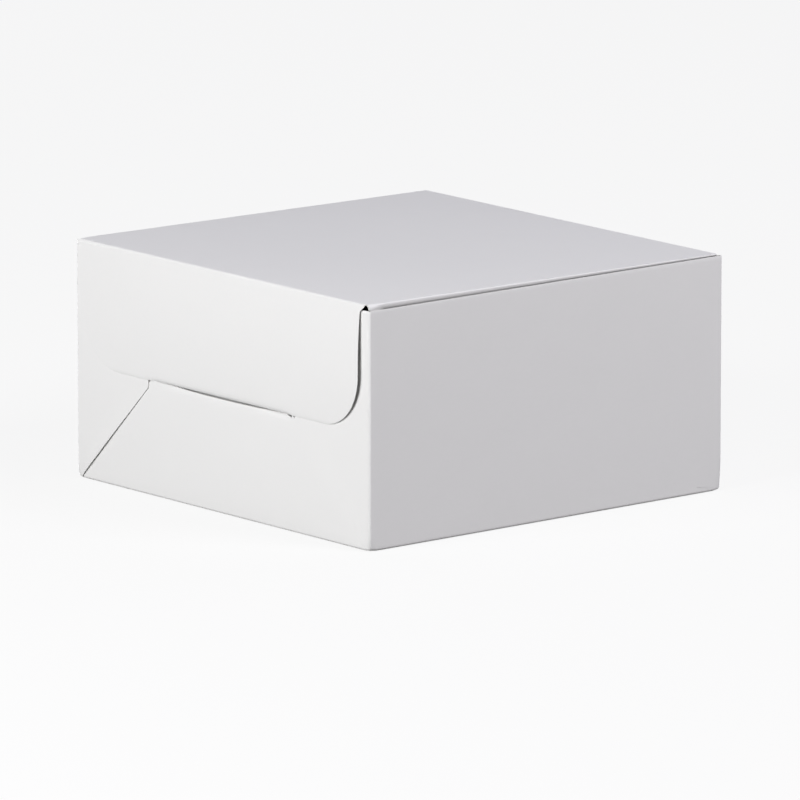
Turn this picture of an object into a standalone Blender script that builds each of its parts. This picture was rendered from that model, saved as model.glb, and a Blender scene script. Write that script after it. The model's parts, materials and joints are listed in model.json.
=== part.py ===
"""A closed cake box of white paperboard, modelled panel by panel.

The real box is one die-cut sheet, creased, folded up and glued at its four corners. Here it is split at its
creases, one object for each panel. The front faces -Y, +Z is up, and the origin is at the middle of the
bottom. All lengths are in metres.

Each panel starts as a flat outline, which is cut along its slanting creases, gets its rounded folds by
spinning an edge round the fold, and is given the thickness of the board last, towards the inside of the box.
"""

import math

import bmesh
import bpy
from mathutils import Vector

# Overall sizes
WIDTH = 0.254  # over the outer faces of the side walls
DEPTH = 0.254  # from the front flap at its fullest to the ears on the back wall
WALL_HEIGHT = 0.1315  # from the table to the cut edge of a side wall
LID_RISE = 0.0033  # from that cut edge up to the top of the lid, at its front fold
LID_FALL = 0.0026  # how far the lid, which its flaps hold up in front, falls away to its hinge

# Paperboard and how it lies
BOARD = 0.0005  # thickness of the board
LAP = 0.0003  # air between two boards that lie on each other
CREASE = 0.0003  # width of the line that a crease leaves between two panels
FOLD = 0.0015  # outer radius of an ordinary fold
LID_ROLL = 0.0028  # outer radius of the softer folds at the sides of the lid

# Front wall and its slit
FRONT_DROP = 0.005  # how far its top edge is below those of the side walls
SLIT_MARGIN = 0.003  # along the level, from each end of the slit to the slanting crease beside it

# Ears at the front corners, glued on the outside of the front wall
EAR_LENGTH = 0.0635  # from the corner of the box to the end of the ear
EAR_OVERLAP = 0.003  # how far, along the level, its slanting edge lies past the crease under it
EAR_CORNER = 0.003  # radius at the end of the slanting edge
EAR_TOP_CORNER = 0.012  # radius of the upper corner, under the lid's front flap

# Ears at the back corners, glued on the outside of the back wall
BACK_EAR_LENGTH = 0.0635
BACK_EAR_CORNER = 0.006
BACK_EAR_FOOT = 0.003  # rise of its lower edge towards its end
BACK_EAR_SLOPE = 0.016  # fall of its upper edge towards its end

# Glue between an ear and the wall under it
GLUE_FILM = 0.0001
GLUE_WIDTH = 0.007
GLUE_LENGTH = 0.038
GLUE_INSET = 0.012  # from the end of the ear to the near edge of the glue
GLUE_FOOT = 0.008  # from the slanting crease or the fold below to the low end of the glue

# Lid, and the upper corners of the back wall that carries it
LID_SIDE_AIR = 0.0006  # air between a tucked side flap and its side wall
BACK_WALL_CHAMFER = 0.005  # drop of the slanting cuts there

# Front flap of the lid
FLAP_INSET = 0.009  # from the side of the box to the side of the flap
FLAP_DEPTH = 0.070  # from the top of the lid to the straight lower edge of the flap
FLAP_CORNER = 0.030  # radius of its lower corners
FLAP_SHOULDER = 0.005  # drop of the slanting cuts at its upper corners
FLAP_SHOULDER_CORNER = 0.005  # radius where a slanting cut turns into the side
FLAP_BOW = 0.002  # how far it stands proud halfway down, between its fold and its tongue

# Tongue of the front flap
TONGUE_AIR = 0.001  # from each end of the slit to the side of the tongue
TONGUE_ANGLE = math.radians(45)  # of its root, from the level, where it goes through the slit
TONGUE_TUCK = 0.015  # length that lies against the inside of the front wall
TONGUE_CORNER = 0.012
TONGUE_TAPER = 0.004  # how far each side draws in towards the tip

# Side flaps of the lid
SIDE_FLAP_DEPTH = 0.038  # from the top of the lid to the lower edge of the flap, at their front
SIDE_FLAP_SETBACK = 0.002  # from the end of the rolled fold to the end of the flap, at its top
SIDE_FLAP_TAPER = 0.009  # how far its ends draw in towards the lower edge
SIDE_FLAP_CORNER = 0.010

# Numbers of steps, and working values for the cuts
FOLD_STEPS = 4
ROLL_STEPS = 6
CORNER_STEPS = 8
BOW_STEPS = 8  # even, so that one ring of points is at the fullest place
OVERRUN = 0.001  # how far a cutter reaches past what it cuts
TOUCH = 0.000001  # points nearer than this to a plane lie on it

# Places worked out from the sizes above
HALF_WIDTH = WIDTH / 2
LAYER = BOARD + LAP
LID_TOP = WALL_HEIGHT + LID_RISE
FLAP_FACE = FLAP_BOW - DEPTH / 2  # outer face of the front flap at its top and bottom
FRONT_EAR_FACE = FLAP_FACE + LAYER
FRONT_FACE = FRONT_EAR_FACE + LAYER
BACK_EAR_FACE = DEPTH / 2
BACK_FACE = BACK_EAR_FACE - LAYER
FRONT_WALL_TOP = WALL_HEIGHT - FRONT_DROP
CORNER_LINE = HALF_WIDTH - FOLD  # where the upright folds at the corners begin
WALL_END = CORNER_LINE - CREASE  # half the length of the front and back walls
LID_SIDE_FACE = HALF_WIDTH - BOARD - LID_SIDE_AIR  # outer face of a tucked side flap
LID_FRONT_EDGE = FLAP_FACE + FOLD
LID_BACK_EDGE = BACK_FACE - FOLD - CREASE
LID_BACK_TOP = LID_TOP - LID_FALL
LID_SIDE_EDGE = LID_SIDE_FACE - LID_ROLL
FLAP_HALF = HALF_WIDTH - FLAP_INSET
FLAP_TOP = LID_TOP - FOLD - CREASE
FLAP_FOOT = LID_TOP - FLAP_DEPTH
SIDE_FLAP_TOP = LID_TOP - LID_ROLL - CREASE
PIVOT_INSET = FOLD * (1 - math.pi / 4)  # from the sharp corner of a fold to the line that it opens about
TONGUE_SLOPE = math.tan(TONGUE_ANGLE)
TONGUE_TOP = FLAP_FOOT - CREASE - BOARD * math.sin(TONGUE_ANGLE)  # outer edge of its root

X, Y, Z = Vector((1, 0, 0)), Vector((0, 1, 0)), Vector((0, 0, 1))

# Where the four moving panels turn. The lid and its front flap turn so that their folds open out flat.
LID_PIVOT = Vector((0, BACK_FACE - PIVOT_INSET, LID_BACK_TOP - PIVOT_INSET))
FLAP_PIVOT = Vector((0, FLAP_FACE + PIVOT_INSET, LID_TOP - PIVOT_INSET))
SIDE_PIVOT = Vector((LID_SIDE_FACE - BOARD - LAP / 2, 0, SIDE_FLAP_TOP + CREASE / 2))


def clear_scene():
    """Removes whatever the scene holds."""
    for obj in list(bpy.data.objects):
        bpy.data.objects.remove(obj, do_unlink=True)


def make_material(name, colour, roughness):
    """A plain surface of one colour."""
    material = bpy.data.materials.new(name)
    material.use_nodes = True
    surface = material.node_tree.nodes["Principled BSDF"]
    surface.inputs["Base Color"].default_value = (*colour, 1)
    surface.inputs["Metallic"].default_value = 0
    surface.inputs["Roughness"].default_value = roughness
    return material


def board_material(name):
    """White coated paperboard."""
    return make_material(name + "_board", (0.86, 0.86, 0.85), 0.55)


def glue_material(name):
    """Dried white glue."""
    return make_material(name + "_film", (0.80, 0.78, 0.70), 0.35)


def rounded_outline(corners):
    """Points of a polygon whose corners (a, b, radius) are rounded; a radius of zero stays sharp."""
    points = []
    for index, (a, b, radius) in enumerate(corners):
        corner = Vector((a, b))
        if not radius:
            points.append(corner)
            continue
        before = (Vector(corners[index - 1][:2]) - corner).normalized()
        after = (Vector(corners[(index + 1) % len(corners)][:2]) - corner).normalized()
        half_angle = before.angle(after) / 2
        centre = corner + (before + after).normalized() * (radius / math.sin(half_angle))
        start = corner + before * (radius / math.tan(half_angle)) - centre
        end = corner + after * (radius / math.tan(half_angle)) - centre
        first = math.atan2(start.y, start.x)
        sweep = (math.atan2(end.y, end.x) - first + math.pi) % math.tau - math.pi
        for step in range(CORNER_STEPS + 1):
            angle = first + sweep * step / CORNER_STEPS
            points.append(centre + Vector((math.cos(angle), math.sin(angle))) * radius)
    return points


def draw(corners, origin, along, up):
    """A new mesh with one flat face: the rounded outline on the plane through origin."""
    drawing = bmesh.new()
    points = [origin + along * p.x + up * p.y for p in rounded_outline(corners)]
    drawing.faces.new([drawing.verts.new(p) for p in points])
    return drawing


def everything(drawing):
    """All that a mesh holds, as the operators take it."""
    return drawing.verts[:] + drawing.edges[:] + drawing.faces[:]


def trim(drawing, point, away):
    """Cuts a mesh along a plane and drops the side that away points to."""
    bmesh.ops.bisect_plane(
        drawing,
        geom=everything(drawing),
        dist=TOUCH,
        plane_co=point,
        plane_no=away,
        clear_outer=True,
    )


def score(drawing, point, normal):
    """Adds an edge where a plane crosses a mesh, and drops nothing."""
    bmesh.ops.bisect_plane(
        drawing, geom=everything(drawing), dist=TOUCH, plane_co=point, plane_no=normal
    )


def roll_over(drawing, edge_point, facing, towards, radius, steps):
    """Adds a quarter-round fold to the straight border through edge_point.

    The panel faces one way there, and the fold carries its surface round until it faces towards, the way
    that the border itself looks.
    """
    edges = [
        e
        for e in drawing.edges
        if e.is_boundary and all(abs((v.co - edge_point).dot(towards)) < TOUCH for v in e.verts)
    ]
    bmesh.ops.spin(
        drawing,
        geom=edges + list({v for e in edges for v in e.verts}),
        cent=edge_point - facing * radius,
        axis=facing.cross(towards),
        angle=math.pi / 2,
        steps=steps,
    )


def add_piece(name, drawing, facing, thickness, material, pivot=None):
    """Turns a drawing into an object whose thickness goes in from its outer face."""
    bmesh.ops.recalc_face_normals(drawing, faces=drawing.faces)
    widest = max(drawing.faces, key=lambda face: face.calc_area())
    if widest.normal.dot(facing) < 0:
        bmesh.ops.reverse_faces(drawing, faces=drawing.faces)
    if pivot:
        bmesh.ops.translate(drawing, verts=drawing.verts, vec=-pivot.matrix_world.translation)
    mesh = bpy.data.meshes.new(name)
    drawing.to_mesh(mesh)
    drawing.free()
    mesh.materials.append(material)
    mesh.shade_smooth()
    mesh.set_sharp_from_angle(angle=math.radians(30))
    piece = bpy.data.objects.new(name, mesh)
    piece.parent = pivot
    bpy.context.scene.collection.objects.link(piece)
    solid = piece.modifiers.new("Thickness", "SOLIDIFY")
    solid.thickness = thickness
    solid.offset = -1
    solid.use_even_offset = True
    solid.use_quality_normals = True
    return piece


def add_board(name, drawing, facing, pivot=None):
    """A panel of paperboard."""
    return add_piece(name, drawing, facing, BOARD, board_material(name), pivot)


def add_pivot(name, place, parent=None):
    """An empty on a crease, which carries the panels that turn there."""
    pivot = bpy.data.objects.new(name, None)
    pivot.parent = parent
    pivot.location = place - (parent.matrix_world.translation if parent else Vector())
    bpy.context.scene.collection.objects.link(pivot)
    bpy.context.view_layer.update()
    return pivot


def fall_at(y):
    """How far the lid has fallen at this depth: nothing at its front fold, and all of it at its hinge."""
    share = (y - LID_FRONT_EDGE) / (LID_BACK_EDGE - LID_FRONT_EDGE)
    return LID_FALL * min(max(share, 0), 1)


def let_fall(drawing):
    """Lowers a level piece of the lid to the slope of the lid."""
    for vert in drawing.verts:
        vert.co.z -= fall_at(vert.co.y)


def rectangle(low_a, low_b, high_a, high_b):
    """Sharp corners of an upright rectangle."""
    return [(low_a, low_b, 0), (high_a, low_b, 0), (high_a, high_b, 0), (low_a, high_b, 0)]


def both_halves(half):
    """Corners of an outline that is alike on both sides, from those of its right half."""
    return half + [(-a, b, radius) for a, b, radius in reversed(half)]


def add_base():
    """The floor of the box."""
    front = FRONT_FACE + FOLD + CREASE
    back = BACK_FACE - FOLD - CREASE
    drawing = draw(rectangle(-WALL_END, front, WALL_END, back), Vector(), X, Y)
    add_board("base_panel", drawing, -Z)


def add_side_wall(name, side):
    """A side wall between its two corner folds; side is -1 for the left one and 1 for the right one."""
    front = FRONT_EAR_FACE + FOLD + CREASE
    back = BACK_EAR_FACE - FOLD - CREASE
    face = X * side * HALF_WIDTH
    drawing = draw(rectangle(front, FOLD, back, WALL_HEIGHT), face, Y, Z)
    roll_over(drawing, face + Z * FOLD, X * side, -Z, FOLD, FOLD_STEPS)
    add_board(name, drawing, X * side)


def crease_line(side, offset):
    """A point on the slanting crease of the front wall, moved off it, and the way up and out from it.

    The crease runs from the lower corner of the box at half a right angle.
    """
    upward = (X * side + Z).normalized()
    return X * side * HALF_WIDTH + upward * offset, upward


def add_front_wall():
    """The part of the front wall that is hinged on the base, with its slit."""
    face = Y * FRONT_FACE
    drawing = draw(rectangle(-WALL_END, FOLD, WALL_END, FRONT_WALL_TOP), face, X, Z)
    for side in (-1, 1):
        point, upward = crease_line(side, -CREASE / 2)
        trim(drawing, point + face, upward)
    roll_over(drawing, face + Z * FOLD, -Y, -Z, FOLD, FOLD_STEPS)
    wall = add_board("front_wall", drawing, -Y)
    cut = wall.modifiers.new("Slit", "BOOLEAN")
    cut.object = slit_cutter()
    cut.solver = "EXACT"


def slit_place():
    """Length, width and middle height of the slit, which is as wide as the root of the tongue takes up.

    The root drops by its slope on its way from the face of the flap to the middle of the wall. At its upper
    edge the slit is as long as the two slanting creases leave, less its margins.
    """
    slant = BOARD * math.hypot(1, TONGUE_SLOPE)
    drop = (FRONT_FACE + BOARD / 2 - FLAP_FACE) * TONGUE_SLOPE
    height = TONGUE_TOP - drop + slant / 2
    width = BOARD * TONGUE_SLOPE + slant + 2 * LAP
    length = 2 * (HALF_WIDTH - height - width / 2 - SLIT_MARGIN)
    return length, width, height


def slit_cutter():
    """The tool that opens the slit."""
    length, width, height = slit_place()
    cutter_mesh = bmesh.new()
    bmesh.ops.create_cube(cutter_mesh, size=1)
    size = Vector((length, BOARD + 2 * OVERRUN, width))
    bmesh.ops.scale(cutter_mesh, vec=size, verts=cutter_mesh.verts)
    mesh = bpy.data.meshes.new("slit_cutter")
    cutter_mesh.to_mesh(mesh)
    cutter_mesh.free()
    cutter = bpy.data.objects.new("slit_cutter", mesh)
    cutter.location = (0, FRONT_FACE + BOARD / 2, height)
    cutter.hide_render = True
    cutter.display_type = "WIRE"
    bpy.context.scene.collection.objects.link(cutter)
    return cutter


def add_gusset(name, side):
    """The part of the front wall beyond its slanting crease, which the ear is glued on."""
    face = Y * FRONT_FACE
    drawing = draw(rectangle(-WALL_END, FOLD, WALL_END, FRONT_WALL_TOP), face, X, Z)
    point, upward = crease_line(side, CREASE / 2)
    trim(drawing, point + face, -upward)
    trim(drawing, X * side * CREASE / 2, -X * side)
    add_board(name, drawing, -Y)


def add_front_ear(name, side):
    """The ear that goes on from a side wall, round the corner and over the gusset.

    Its lower edge goes up beside the slanting crease, which it just covers.
    """
    corners = [
        (FOLD, FOLD, 0),
        (FOLD + EAR_OVERLAP, FOLD, 0),
        (EAR_LENGTH, EAR_LENGTH - EAR_OVERLAP, EAR_CORNER),
        (EAR_LENGTH, WALL_HEIGHT, EAR_TOP_CORNER),
        (FOLD, WALL_HEIGHT, 0),
    ]
    corner = X * side * HALF_WIDTH + Y * FRONT_EAR_FACE
    drawing = draw(corners, corner, -X * side, Z)
    roll_over(drawing, X * side * CORNER_LINE + Y * FRONT_EAR_FACE, -Y, X * side, FOLD, FOLD_STEPS)
    add_board(name, drawing, -Y)


def back_ear_outline(side):
    """A drawing of the whole back ear, before its slanting crease divides it."""
    corners = [
        (FOLD, FOLD, 0),
        (BACK_EAR_LENGTH, FOLD + BACK_EAR_FOOT, BACK_EAR_CORNER),
        (BACK_EAR_LENGTH, WALL_HEIGHT - BACK_EAR_SLOPE, BACK_EAR_CORNER),
        (FOLD, WALL_HEIGHT, 0),
    ]
    return draw(corners, X * side * HALF_WIDTH + Y * BACK_EAR_FACE, -X * side, Z)


def add_back_ear(corner_name, side):
    """The back ear: a web that goes on from the side wall, and a tab glued on the back wall."""
    face = Y * BACK_EAR_FACE
    web = back_ear_outline(side)
    point, upward = crease_line(side, CREASE / 2)
    trim(web, point + face, -upward)
    roll_over(web, X * side * CORNER_LINE + face, Y, X * side, FOLD, FOLD_STEPS)
    add_board(corner_name + "_ear_web", web, Y)
    tab = back_ear_outline(side)
    point, upward = crease_line(side, -CREASE / 2)
    trim(tab, point + face, upward)
    add_board(corner_name + "_ear_tab", tab, Y)


def add_glue(name, side, wall_face, foot, outward, ear_length):
    """A spot of glue, upright between a wall and the end of an ear, in the middle of their gap."""
    near = ear_length - GLUE_INSET
    far = near - GLUE_WIDTH
    radius = GLUE_WIDTH / 2 - TOUCH
    corners = [(far, foot, radius), (near, foot, radius)]
    corners += [(a, foot + GLUE_LENGTH, radius) for a, _, _ in reversed(corners)]
    outer = Y * wall_face + outward * (LAP + GLUE_FILM) / 2
    drawing = draw(corners, X * side * HALF_WIDTH + outer, -X * side, Z)
    add_piece(name, drawing, outward, GLUE_FILM, glue_material(name))


def add_back_wall():
    """The back wall, with the fold at its top that the lid hangs on."""
    face = Y * BACK_FACE
    top = LID_BACK_TOP - FOLD
    half = [(WALL_END, FOLD, 0), (WALL_END, top - BACK_WALL_CHAMFER, 0), (LID_SIDE_EDGE, top, 0)]
    drawing = draw(both_halves(half), face, X, Z)
    roll_over(drawing, face + Z * FOLD, Y, -Z, FOLD, FOLD_STEPS)
    roll_over(drawing, face + Z * top, Y, Z, FOLD, FOLD_STEPS)
    add_board("back_wall", drawing, Y)


def add_lid_panel(pivot):
    """The top of the lid, with its front fold and its rolled side folds."""
    top = Z * LID_TOP
    corners = rectangle(-LID_SIDE_EDGE, LID_FRONT_EDGE, LID_SIDE_EDGE, LID_BACK_EDGE)
    drawing = draw(corners, top, X, Y)
    roll_over(drawing, top + Y * LID_FRONT_EDGE, Z, -Y, FOLD, FOLD_STEPS)
    for side in (-1, 1):
        roll_over(drawing, top + X * side * LID_SIDE_EDGE, Z, X * side, LID_ROLL, ROLL_STEPS)
    let_fall(drawing)
    add_board("lid_panel", drawing, Z, pivot)


def add_front_flap(pivot):
    """The front flap, bowed outwards between its fold and its tongue.

    At a share t of the way down, it stands proud by the bow times 4t(1 - t).
    """
    half = [
        (FLAP_HALF, FLAP_FOOT, FLAP_CORNER),
        (FLAP_HALF, FLAP_TOP - FLAP_SHOULDER, FLAP_SHOULDER_CORNER),
        (LID_SIDE_EDGE, FLAP_TOP, 0),
    ]
    drawing = draw(both_halves(half), Y * FLAP_FACE, X, Z)
    height = FLAP_TOP - FLAP_FOOT
    for step in range(1, BOW_STEPS):
        score(drawing, Z * (FLAP_FOOT + height * step / BOW_STEPS), Z)
    for vert in drawing.verts:
        down = (FLAP_TOP - vert.co.z) / height
        vert.co.y -= FLAP_BOW * 4 * down * (1 - down)
    add_board("lid_front_flap", drawing, -Y, pivot)


def add_tongue(pivot):
    """The tongue: its root slants through the slit, and the rest lies inside on the front wall.

    The outline is drawn along the board, from the root, and then bent at the end of the root.
    """
    inside_face = FRONT_FACE + BOARD + LAP
    reach = inside_face - FLAP_FACE
    root = reach * math.hypot(1, TONGUE_SLOPE)
    half = slit_place()[0] / 2 - TONGUE_AIR
    side = [
        (half - TONGUE_TAPER, root + TONGUE_TUCK, TONGUE_CORNER),
        (half, root, 0),
        (half, 0, 0),
    ]
    drawing = draw(both_halves(side), Vector(), X, -Z)
    score(drawing, -Z * root, Z)
    for vert in drawing.verts:
        along = -vert.co.z
        share = min(along / root, 1)
        vert.co.y = FLAP_FACE + reach * share
        vert.co.z = TONGUE_TOP - reach * TONGUE_SLOPE * share - max(along - root, 0)
    add_board("lid_tongue", drawing, -Y, pivot)


def add_side_flap(name, side, pivot):
    """A side flap of the lid, tucked inside its side wall, with tapered ends."""
    foot = LID_TOP - SIDE_FLAP_DEPTH
    front = LID_FRONT_EDGE + SIDE_FLAP_SETBACK
    back = LID_BACK_EDGE - SIDE_FLAP_SETBACK
    corners = [
        (front + SIDE_FLAP_TAPER, foot, SIDE_FLAP_CORNER),
        (back - SIDE_FLAP_TAPER, foot, SIDE_FLAP_CORNER),
        (back, SIDE_FLAP_TOP, 0),
        (front, SIDE_FLAP_TOP, 0),
    ]
    drawing = draw(corners, X * side * LID_SIDE_FACE, Y, Z)
    let_fall(drawing)
    add_board(name, drawing, X * side, pivot)


def build_tray():
    """The tray: base, walls, corners and glue."""
    add_base()
    add_front_wall()
    add_back_wall()
    for word, side in (("left", -1), ("right", 1)):
        add_side_wall(word + "_wall", side)
        add_gusset("front_" + word + "_gusset", side)
        add_front_ear("front_" + word + "_ear", side)
        add_back_ear("back_" + word, side)
        front_foot = EAR_LENGTH + GLUE_FOOT
        add_glue("glue_front_" + word, side, FRONT_FACE, front_foot, -Y, EAR_LENGTH)
        back_foot = FOLD + GLUE_FOOT
        add_glue("glue_back_" + word, side, BACK_FACE, back_foot, Y, BACK_EAR_LENGTH)


def build_lid():
    """The lid, its three flaps and the tongue, each on the empty at its crease."""
    lid_pivot = add_pivot("lid_pivot", LID_PIVOT)
    add_lid_panel(lid_pivot)
    flap_pivot = add_pivot("front_flap_pivot", FLAP_PIVOT, lid_pivot)
    add_front_flap(flap_pivot)
    add_tongue(flap_pivot)
    for word, side in (("left", -1), ("right", 1)):
        place = Vector((SIDE_PIVOT.x * side, SIDE_PIVOT.y, SIDE_PIVOT.z - fall_at(SIDE_PIVOT.y)))
        side_pivot = add_pivot(word + "_flap_pivot", place, lid_pivot)
        add_side_flap("lid_" + word + "_flap", side, side_pivot)


clear_scene()
build_tray()
build_lid()
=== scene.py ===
"""Looks of a closed cake box of white paperboard, built around its packed panels.

Every panel is one sheet of board: a grid of points for its coated outer face, the same grid half a
millimetre further in for its plain inner face, and a raw cut edge all round. On each grid the direction of
the columns crossed with that of the rows points outwards. The folds are rounded, and neighbouring sheets
meet a few millimetres inside a flat panel, never on a fold. All lengths are in metres.
"""

import json
import math

import bmesh
import bpy
import numpy as np
from bpy.props import FloatProperty, FloatVectorProperty, PointerProperty
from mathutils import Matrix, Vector


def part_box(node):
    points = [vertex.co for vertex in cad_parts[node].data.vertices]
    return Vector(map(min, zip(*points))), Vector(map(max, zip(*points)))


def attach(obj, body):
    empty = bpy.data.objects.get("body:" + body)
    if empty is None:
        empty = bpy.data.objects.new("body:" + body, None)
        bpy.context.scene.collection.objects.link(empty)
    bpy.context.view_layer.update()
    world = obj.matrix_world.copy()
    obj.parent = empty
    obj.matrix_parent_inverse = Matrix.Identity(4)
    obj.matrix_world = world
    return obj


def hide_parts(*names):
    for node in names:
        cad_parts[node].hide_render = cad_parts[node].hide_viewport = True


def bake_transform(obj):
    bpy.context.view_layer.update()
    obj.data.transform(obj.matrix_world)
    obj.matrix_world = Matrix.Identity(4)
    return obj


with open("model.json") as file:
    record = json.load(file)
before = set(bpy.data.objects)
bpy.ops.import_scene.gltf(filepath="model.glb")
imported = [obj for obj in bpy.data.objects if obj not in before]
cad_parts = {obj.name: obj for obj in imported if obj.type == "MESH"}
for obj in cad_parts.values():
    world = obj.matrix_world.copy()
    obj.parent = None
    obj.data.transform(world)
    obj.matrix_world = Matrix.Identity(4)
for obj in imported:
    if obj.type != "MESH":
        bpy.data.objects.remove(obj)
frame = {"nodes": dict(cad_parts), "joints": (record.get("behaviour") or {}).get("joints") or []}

bl_info = {
    "name": "Paperboard Cake Box",
    "version": (1, 0, 0),
    "blender": (4, 5, 0),
    "location": "View3D > Sidebar > Cake Box",
    "description": "Dresses the panels of a folded cake box in coated paperboard",
    "category": "Object",
}

LOW, HIGH = 0, 1  # which corner of a node's box
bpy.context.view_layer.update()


def limit(node, which, axis):
    """One side of a node's box, to the nearest micrometre."""
    return round(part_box(node)[which]["xyz".index(axis)], 6)


# Places of the panels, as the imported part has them
HALF = limit("right_wall", HIGH, "x")
WALL_TOP = limit("right_wall", HIGH, "z")
EAR_FACE = limit("front_right_ear", LOW, "y")
FRONT_FACE = limit("front_wall", LOW, "y")
FRONT_TOP = limit("front_right_gusset", HIGH, "z")
WALL_END = limit("front_right_gusset", HIGH, "x")
BACK_EAR_FACE = limit("back_right_ear_web", HIGH, "y")
BACK_FACE = limit("back_wall", HIGH, "y")
HINGE_TOP = limit("back_wall", HIGH, "z")
LID_FACE = limit("lid_panel", LOW, "y")
LID_TOP = limit("lid_panel", HIGH, "z")
LID_BACK_EDGE = limit("lid_panel", HIGH, "y")
ROLL_FACE = limit("lid_panel", HIGH, "x")
FLAP_EDGE = limit("lid_front_flap", HIGH, "x")
FLAP_FOOT = limit("lid_front_flap", LOW, "z")
FLAP_FULLEST = limit("lid_front_flap", LOW, "y")
TONGUE_HALF = limit("lid_tongue", HIGH, "x")
TONGUE_TIP = limit("lid_tongue", LOW, "z")
TUCK_FOOT = limit("lid_right_flap", LOW, "z")
FRONT_EAR_LENGTH = HALF - limit("front_right_ear", LOW, "x")
BACK_EAR_LENGTH = HALF - limit("back_right_ear_tab", LOW, "x")

EAR_OVERLAP = 0.003  # how far the front ear goes past the slanting crease under it
FLAP_CORNER = 0.0315  # radius of the lower corners of the front flap
BEND_ROWS = 8  # rows round the fold at the foot of a wall
CENTRE_HEIGHT = 0.0654  # height of the point in the box that the camera is set about

# Parts of a side sheet, in the order of its columns
FRONT_EAR, FRONT_CORNER, SIDE_WALL, BACK_CORNER, BACK_EAR = PARTS = range(5)


def metres(name, description, default):
    """A property that holds a length in metres."""
    return FloatProperty(name=name, description=description, default=default, unit="LENGTH", precision=5)


def tint(name, description, default):
    """A property that holds a colour."""
    return FloatVectorProperty(
        name=name, description=description, default=default, size=3, subtype="COLOR", min=0, max=1
    )


class BoardSizes(bpy.types.PropertyGroup):
    """Sizes of the board and of its folds"""

    board: metres("Board", "Thickness of the board", 0.0005)
    fold: metres("Fold", "Outer radius of an ordinary fold", 0.0015)
    roll: metres("Lid roll", "Width of the soft folds at the sides of the lid", 0.0028)
    lip: metres("Lip", "How far a sheet goes on past a fold before the next one takes over", 0.004)
    crease: metres("Crease depth", "Depth of a pressed line that isn't folded", 0.00012)
    sag: metres("Lid sag", "How far the middle of the lid hangs below its rim", 0.0006)
    slack: metres("Wall slack", "How far a side wall draws in between its corners", 0.0002)
    shoulder: metres("Flap shoulder", "How far the front flap steps in at each side, below its fold", 0.0030)
    tuck: metres("Side tuck", "How far a side flap leans in below its fold", 0.0034)
    pull: metres("Flap pull", "How far the tongue draws the foot of the front flap in", 0.0013)


class BoardColours(bpy.types.PropertyGroup):
    """Colours of the board, the glue and the backdrop"""

    coated: tint("Coated face", "White clay coating on the outside", (0.86, 0.86, 0.855))
    plain: tint("Plain face", "Uncoated face on the inside", (0.50, 0.50, 0.48))
    cut: tint("Cut edge", "Raw fibres of a cut edge", (0.78, 0.775, 0.75))
    glue: tint("Glue", "Dried white glue", (0.80, 0.78, 0.70))
    backdrop: tint("Backdrop", "Pale ground that the camera sees", (0.93, 0.93, 0.93))


class View(bpy.types.PropertyGroup):
    """Where the camera stands and what it aims at"""

    azimuth: FloatProperty(
        name="Azimuth", description="Turn of the camera from the front towards the right",
        default=math.radians(50.3269), subtype="ANGLE",
    )
    elevation: FloatProperty(
        name="Elevation", description="Height of the camera above the horizon",
        default=math.radians(11.4461), subtype="ANGLE",
    )
    distance: metres("Distance", "From the camera to the point in the box that it is set about", 6.0)
    focal: FloatProperty(
        name="Focal length", description="Focal length of the lens",
        default=490.11, subtype="DISTANCE_CAMERA", max=2000,
    )
    aim_side: metres("Aim aside", "How far right of that point the camera aims", 0.00188)
    aim_up: metres("Aim up", "How far above that point the camera aims", -0.01789)


# Lines, outlines and grids


def stops(*pairs):
    """Numbers from stop to stop; each pair is a stop and the count of steps up to the next one."""
    runs = [
        np.linspace(start, end, count, endpoint=False)
        for (start, count), (end, _) in zip(pairs, pairs[1:])
    ]
    return np.concatenate([*runs, [pairs[-1][0]]])


def rounded_chain(corners, steps):
    """An open chain of points whose inner corners (a, b, radius) are replaced by arcs.

    An arc's centre lies on the bisector of its corner, at the radius over the sine of half the angle.
    """
    points = []
    for k, (a, b, radius) in enumerate(corners):
        corner = np.array([a, b], float)
        if not radius:
            points.append(corner[None])
            continue
        before = np.array(corners[k - 1][:2]) - corner
        after = np.array(corners[k + 1][:2]) - corner
        before, after = before / np.linalg.norm(before), after / np.linalg.norm(after)
        half_angle = math.acos(np.clip(before @ after, -1, 1)) / 2
        bisector = (before + after) / np.linalg.norm(before + after)
        centre = corner + bisector * radius / math.sin(half_angle)
        start = corner + before * radius / math.tan(half_angle) - centre
        end = corner + after * radius / math.tan(half_angle) - centre
        first = math.atan2(start[1], start[0])
        sweep = (math.atan2(end[1], end[0]) - first + math.pi) % math.tau - math.pi
        turn = first + sweep * np.linspace(0, 1, steps + 1)
        points.append(centre + radius * np.stack([np.cos(turn), np.sin(turn)], axis=1))
    return np.concatenate(points)


def merged(*runs):
    """The numbers of several runs in rising order, without repeats."""
    return np.unique(np.round(np.concatenate(runs), 7))


def smooth_step(value, start, end):
    """Nothing before start and one past end, with a level beginning and end: 3t^2 - 2t^3."""
    share = np.clip((value - start) / (end - start), 0, 1)
    return share * share * (3 - 2 * share)


def bell(distance, width):
    """A bell curve, one at no distance: e to the power of minus the square of the distance in widths."""
    return np.exp(-((distance / width) ** 2))


def lid_fall(y):
    """How far the lid has dropped at a depth: nothing at its front fold, and all of it at its hinge."""
    front = LID_FACE + bpy.context.scene.board_sizes.fold
    return (LID_TOP - HINGE_TOP) * np.clip((y - front) / (LID_BACK_EDGE - front), 0, 1)


def rows_between(start, end, shares):
    """Rows at these shares of the way from one row to another."""
    return [start + (end - start) * share for share in shares]


def beside_crease(below, above):
    """How far the rows beside a crease lie from it: less where there is little room on either side."""
    furthest, room_share = 0.0006, 0.4
    return np.minimum(furthest, room_share * np.minimum(below, above))


def pressed(sizes, distance):
    """Depth of a pressed crease at a distance from its middle, a bell curve."""
    width = 0.0004
    return sizes.crease * bell(distance, width)


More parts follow.
